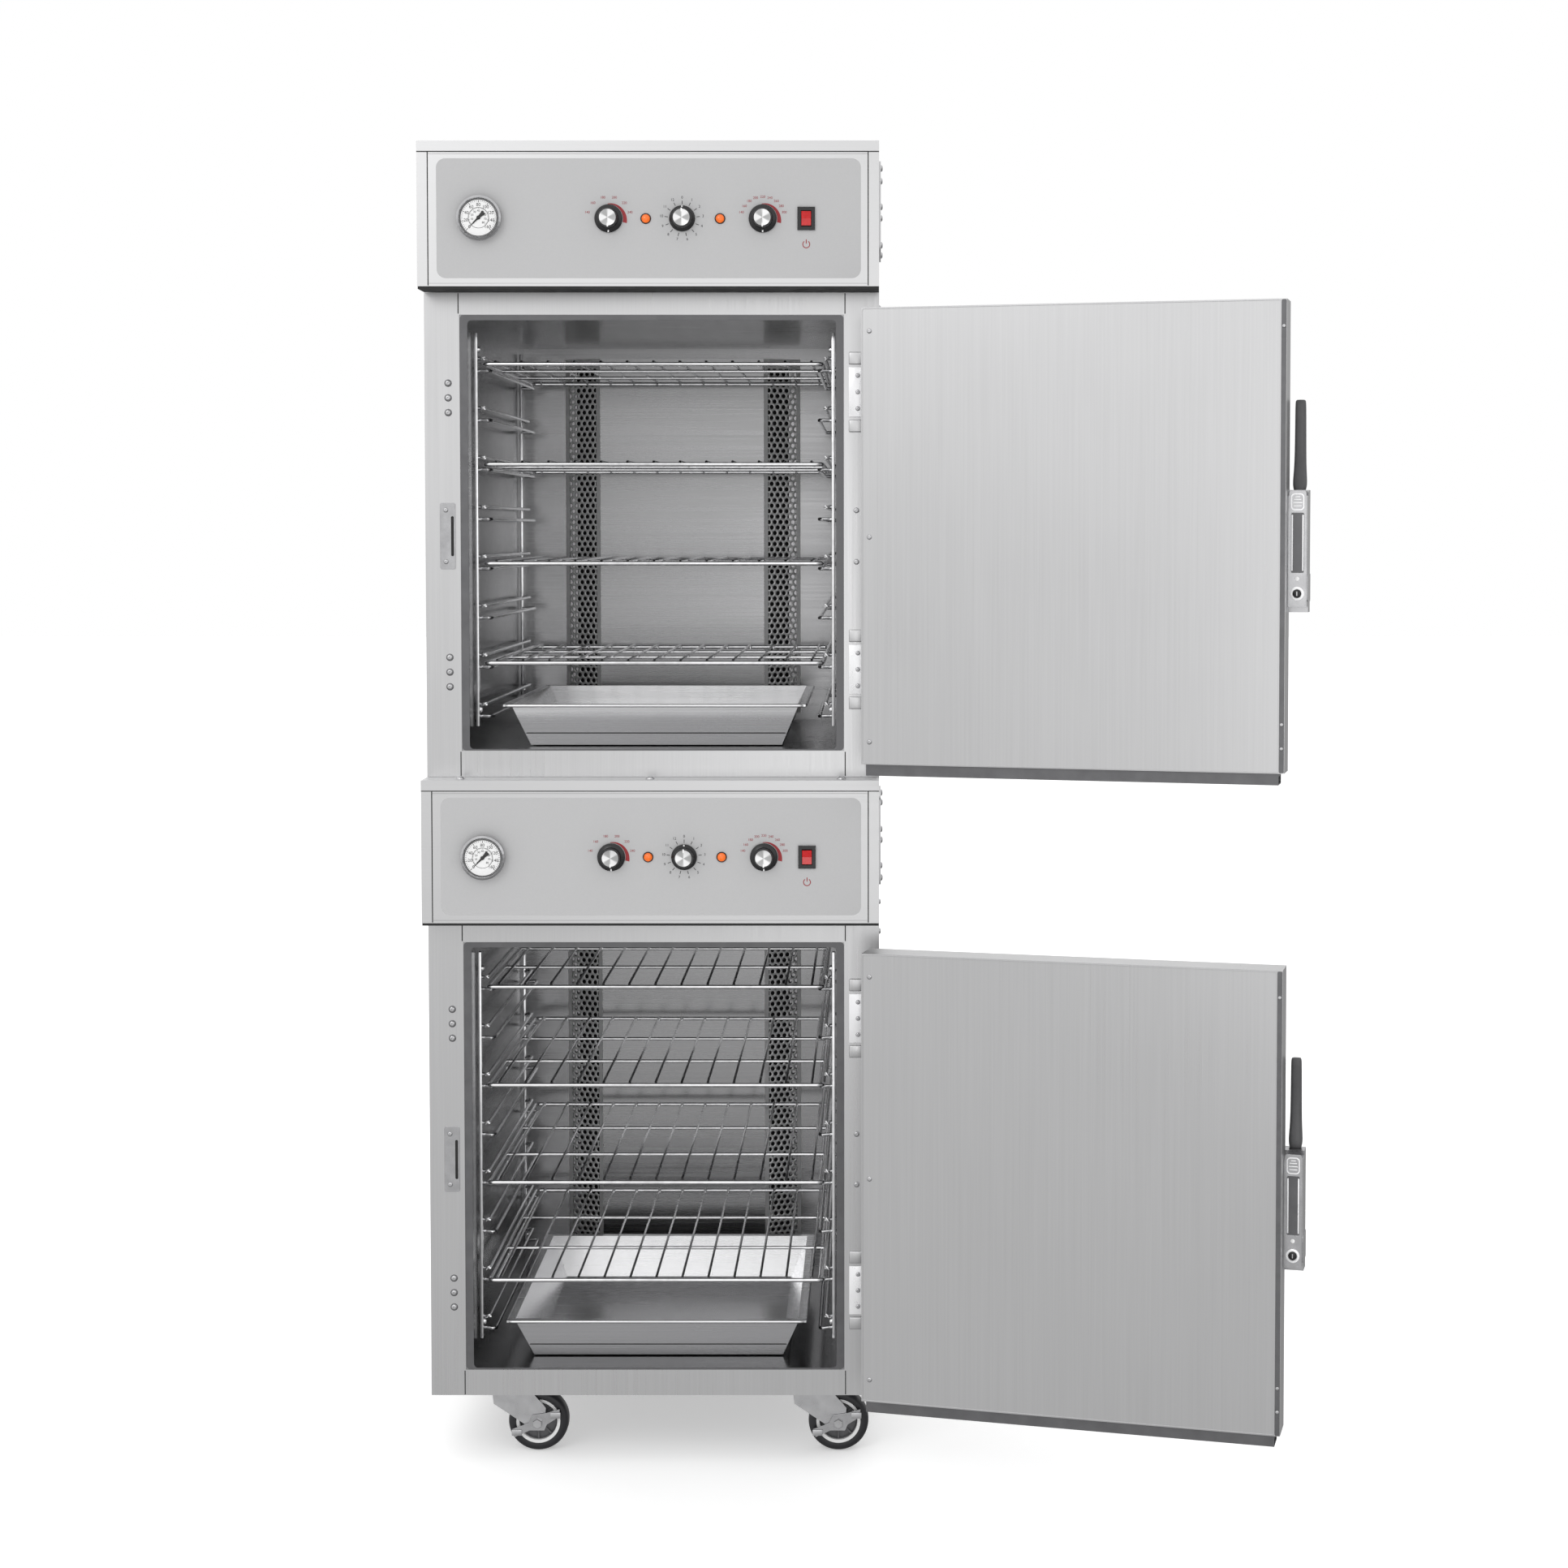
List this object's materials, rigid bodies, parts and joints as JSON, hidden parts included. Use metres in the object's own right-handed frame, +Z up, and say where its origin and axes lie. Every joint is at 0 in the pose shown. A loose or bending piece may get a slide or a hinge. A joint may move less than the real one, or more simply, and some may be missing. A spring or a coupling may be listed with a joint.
{
  "type": "electric cabinet smoker",
  "caption": "Double-deck electric cabinet smoker on swivel casters, with control headers, wire shelves, drip pans and side-hinged doors standing open.",
  "frame": {"origin": "middle of the whole outline with both doors open as stored, on the floor", "axes": "+Z up, +Y towards the back of the cabinet, +X to the viewer's right, the hinge side"},
  "size_m": [1.2558, 0.94, 1.9347],
  "materials": {
    "brushed_shell": "satin vertical brush",
    "cavity_steel": "semi-bright",
    "header_sheet": "fine satin",
    "dial_steel": "polished bezel",
    "black_plastic": "matte moulded",
    "red_rocker": "gloss translucent",
    "bright_wire": "bright plated wire",
    "pan_steel": "drawn sheet",
    "cast_chrome": "plated casting",
    "grey_handle": "satin",
    "dark_trough": "extruded",
    "caster_tyre": "moulded tread",
    "zinc_plate": "bright zinc"
  },
  "bodies": {
    "cabinet": {"caster_base": "zinc_plate", "lower_cabinet_shell": "brushed_shell", "lower_cavity_liner": "cavity_steel", "lower_rear_duct": "cavity_steel", "lower_header_housing": "header_sheet", "lower_control_panel": "header_sheet", "lower_thermometer": "dial_steel", "lower_switch_frame": "black_plastic", "lower_hinge_high": "cast_chrome", "lower_hinge_low": "cast_chrome", "lower_ladder_left": "bright_wire", "lower_ladder_right": "bright_wire", "upper_cabinet_shell": "brushed_shell", "upper_cavity_liner": "cavity_steel", "upper_rear_duct": "cavity_steel", "upper_header_housing": "header_sheet", "upper_control_panel": "header_sheet", "upper_thermometer": "dial_steel", "upper_switch_frame": "black_plastic", "upper_hinge_high": "cast_chrome", "upper_hinge_low": "cast_chrome", "upper_ladder_left": "bright_wire", "upper_ladder_right": "bright_wire"},
    "lower_door": {"lower_door": "brushed_shell", "lower_door_trough": "dark_trough", "lower_latch_case": "cast_chrome"},
    "lower_latch_handle": {"lower_latch_handle": "grey_handle"},
    "lower_cook_temp_knob": {"lower_cook_temp_knob": "black_plastic"},
    "lower_cook_time_knob": {"lower_cook_time_knob": "black_plastic"},
    "lower_hold_temp_knob": {"lower_hold_temp_knob": "black_plastic"},
    "lower_power_rocker": {"lower_power_rocker": "red_rocker"},
    "lower_shelf_1": {"lower_shelf_1": "bright_wire"},
    "lower_shelf_2": {"lower_shelf_2": "bright_wire"},
    "lower_shelf_3": {"lower_shelf_3": "bright_wire"},
    "lower_shelf_4": {"lower_shelf_4": "bright_wire"},
    "lower_drip_pan": {"lower_drip_pan": "pan_steel"},
    "upper_door": {"upper_door": "brushed_shell", "upper_door_trough": "dark_trough", "upper_latch_case": "cast_chrome"},
    "upper_latch_handle": {"upper_latch_handle": "grey_handle"},
    "upper_cook_temp_knob": {"upper_cook_temp_knob": "black_plastic"},
    "upper_cook_time_knob": {"upper_cook_time_knob": "black_plastic"},
    "upper_hold_temp_knob": {"upper_hold_temp_knob": "black_plastic"},
    "upper_power_rocker": {"upper_power_rocker": "red_rocker"},
    "upper_shelf_1": {"upper_shelf_1": "bright_wire"},
    "upper_shelf_2": {"upper_shelf_2": "bright_wire"},
    "upper_shelf_3": {"upper_shelf_3": "bright_wire"},
    "upper_shelf_4": {"upper_shelf_4": "bright_wire"},
    "upper_drip_pan": {"upper_drip_pan": "pan_steel"},
    "front_left_caster": {"front_left_fork": "zinc_plate"},
    "front_left_wheel": {"front_left_wheel": "caster_tyre"},
    "front_left_brake": {"front_left_brake": "zinc_plate"},
    "front_right_caster": {"front_right_fork": "zinc_plate"},
    "front_right_wheel": {"front_right_wheel": "caster_tyre"},
    "front_right_brake": {"front_right_brake": "zinc_plate"},
    "rear_left_caster": {"rear_left_fork": "zinc_plate"},
    "rear_left_wheel": {"rear_left_wheel": "caster_tyre"},
    "rear_right_caster": {"rear_right_fork": "zinc_plate"},
    "rear_right_wheel": {"rear_right_wheel": "caster_tyre"}
  },
  "joints": [
    {"name": "lower_door_swing", "type": "hinge", "parent": "cabinet", "child": "lower_door", "pos_m": [0.01412, -0.26798, 0.455], "axis": [0, 0, 1], "range_deg": [-165.5, 0]},
    {"name": "lower_latch_pull", "type": "hinge", "parent": "lower_door", "child": "lower_latch_handle", "pos_m": [0.61282, -0.40525, 0.504], "axis": [-0.9681, 0.2504, 0], "range_deg": [0, 35], "stiffness_Nm_per_rad": 0.8, "springref_deg": -17.19},
    {"name": "lower_cook_temp_knob_turn", "type": "hinge", "parent": "cabinet", "child": "lower_cook_temp_knob", "pos_m": [-0.35388, -0.26598, 0.909], "axis": [0, -1, 0], "range_deg": [-280, 0]},
    {"name": "lower_cook_time_knob_turn", "type": "hinge", "parent": "cabinet", "child": "lower_cook_time_knob", "pos_m": [-0.24888, -0.26598, 0.909], "axis": [0, -1, 0], "range_deg": [-330, 0]},
    {"name": "lower_hold_temp_knob_turn", "type": "hinge", "parent": "cabinet", "child": "lower_hold_temp_knob", "pos_m": [-0.13388, -0.26598, 0.909], "axis": [0, -1, 0], "range_deg": [-280, 0]},
    {"name": "lower_power_rock", "type": "hinge", "parent": "cabinet", "child": "lower_power_rocker", "pos_m": [-0.07188, -0.26328, 0.909], "axis": [1, 0, 0], "range_deg": [-10, 10]},
    {"name": "lower_shelf_1_slide", "type": "slide", "parent": "cabinet", "child": "lower_shelf_1", "axis": [0, -1, 0], "range_m": [0, 0.4]},
    {"name": "lower_shelf_2_slide", "type": "slide", "parent": "cabinet", "child": "lower_shelf_2", "axis": [0, -1, 0], "range_m": [0, 0.4]},
    {"name": "lower_shelf_3_slide", "type": "slide", "parent": "cabinet", "child": "lower_shelf_3", "axis": [0, -1, 0], "range_m": [0, 0.4]},
    {"name": "lower_shelf_4_slide", "type": "slide", "parent": "cabinet", "child": "lower_shelf_4", "axis": [0, -1, 0], "range_m": [0, 0.4]},
    {"name": "lower_drip_pan_slide", "type": "slide", "parent": "cabinet", "child": "lower_drip_pan", "axis": [0, -1, 0], "range_m": [0, 0.4]},
    {"name": "upper_door_swing", "type": "hinge", "parent": "cabinet", "child": "upper_door", "pos_m": [0.01412, -0.26798, 1.37], "axis": [0, 0, 1], "range_deg": [-165.5, 0]},
    {"name": "upper_latch_pull", "type": "hinge", "parent": "upper_door", "child": "upper_latch_handle", "pos_m": [0.61282, -0.40525, 1.419], "axis": [-0.9681, 0.2504, 0], "range_deg": [0, 35], "stiffness_Nm_per_rad": 0.8, "springref_deg": -17.19},
    {"name": "upper_cook_temp_knob_turn", "type": "hinge", "parent": "cabinet", "child": "upper_cook_temp_knob", "pos_m": [-0.35388, -0.26598, 1.824], "axis": [0, -1, 0], "range_deg": [-280, 0]},
    {"name": "upper_cook_time_knob_turn", "type": "hinge", "parent": "cabinet", "child": "upper_cook_time_knob", "pos_m": [-0.24888, -0.26598, 1.824], "axis": [0, -1, 0], "range_deg": [-330, 0]},
    {"name": "upper_hold_temp_knob_turn", "type": "hinge", "parent": "cabinet", "child": "upper_hold_temp_knob", "pos_m": [-0.13388, -0.26598, 1.824], "axis": [0, -1, 0], "range_deg": [-280, 0]},
    {"name": "upper_power_rock", "type": "hinge", "parent": "cabinet", "child": "upper_power_rocker", "pos_m": [-0.07188, -0.26328, 1.824], "axis": [1, 0, 0], "range_deg": [-10, 10]},
    {"name": "upper_shelf_1_slide", "type": "slide", "parent": "cabinet", "child": "upper_shelf_1", "axis": [0, -1, 0], "range_m": [0, 0.4]},
    {"name": "upper_shelf_2_slide", "type": "slide", "parent": "cabinet", "child": "upper_shelf_2", "axis": [0, -1, 0], "range_m": [0, 0.4]},
    {"name": "upper_shelf_3_slide", "type": "slide", "parent": "cabinet", "child": "upper_shelf_3", "axis": [0, -1, 0], "range_m": [0, 0.4]},
    {"name": "upper_shelf_4_slide", "type": "slide", "parent": "cabinet", "child": "upper_shelf_4", "axis": [0, -1, 0], "range_m": [0, 0.4]},
    {"name": "upper_drip_pan_slide", "type": "slide", "parent": "cabinet", "child": "upper_drip_pan", "axis": [0, -1, 0], "range_m": [0, 0.4]},
    {"name": "front_left_swivel", "type": "hinge", "parent": "cabinet", "child": "front_left_caster", "pos_m": [-0.52288, -0.13498, 0.095], "axis": [0, 0, 1], "continuous": true},
    {"name": "front_left_roll", "type": "hinge", "parent": "front_left_caster", "child": "front_left_wheel", "pos_m": [-0.47888, -0.13498, 0.045], "axis": [0, 1, 0], "continuous": true},
    {"name": "front_left_brake_tread", "type": "hinge", "parent": "front_left_caster", "child": "front_left_brake", "pos_m": [-0.47888, -0.15498, 0.045], "axis": [0, 1, 0], "range_deg": [-12, 12]},
    {"name": "front_right_swivel", "type": "hinge", "parent": "cabinet", "child": "front_right_caster", "pos_m": [-0.07288, -0.13498, 0.095], "axis": [0, 0, 1], "continuous": true},
    {"name": "front_right_roll", "type": "hinge", "parent": "front_right_caster", "child": "front_right_wheel", "pos_m": [-0.02888, -0.13498, 0.045], "axis": [0, 1, 0], "continuous": true},
    {"name": "front_right_brake_tread", "type": "hinge", "parent": "front_right_caster", "child": "front_right_brake", "pos_m": [-0.02888, -0.15498, 0.045], "axis": [0, 1, 0], "range_deg": [-12, 12]},
    {"name": "rear_left_swivel", "type": "hinge", "parent": "cabinet", "child": "rear_left_caster", "pos_m": [-0.52288, 0.39002, 0.095], "axis": [0, 0, 1], "continuous": true},
    {"name": "rear_left_roll", "type": "hinge", "parent": "rear_left_caster", "child": "rear_left_wheel", "pos_m": [-0.47888, 0.39002, 0.045], "axis": [0, 1, 0], "continuous": true},
    {"name": "rear_right_swivel", "type": "hinge", "parent": "cabinet", "child": "rear_right_caster", "pos_m": [-0.07288, 0.39002, 0.095], "axis": [0, 0, 1], "continuous": true},
    {"name": "rear_right_roll", "type": "hinge", "parent": "rear_right_caster", "child": "rear_right_wheel", "pos_m": [-0.02888, 0.39002, 0.045], "axis": [0, 1, 0], "continuous": true}
  ]
}
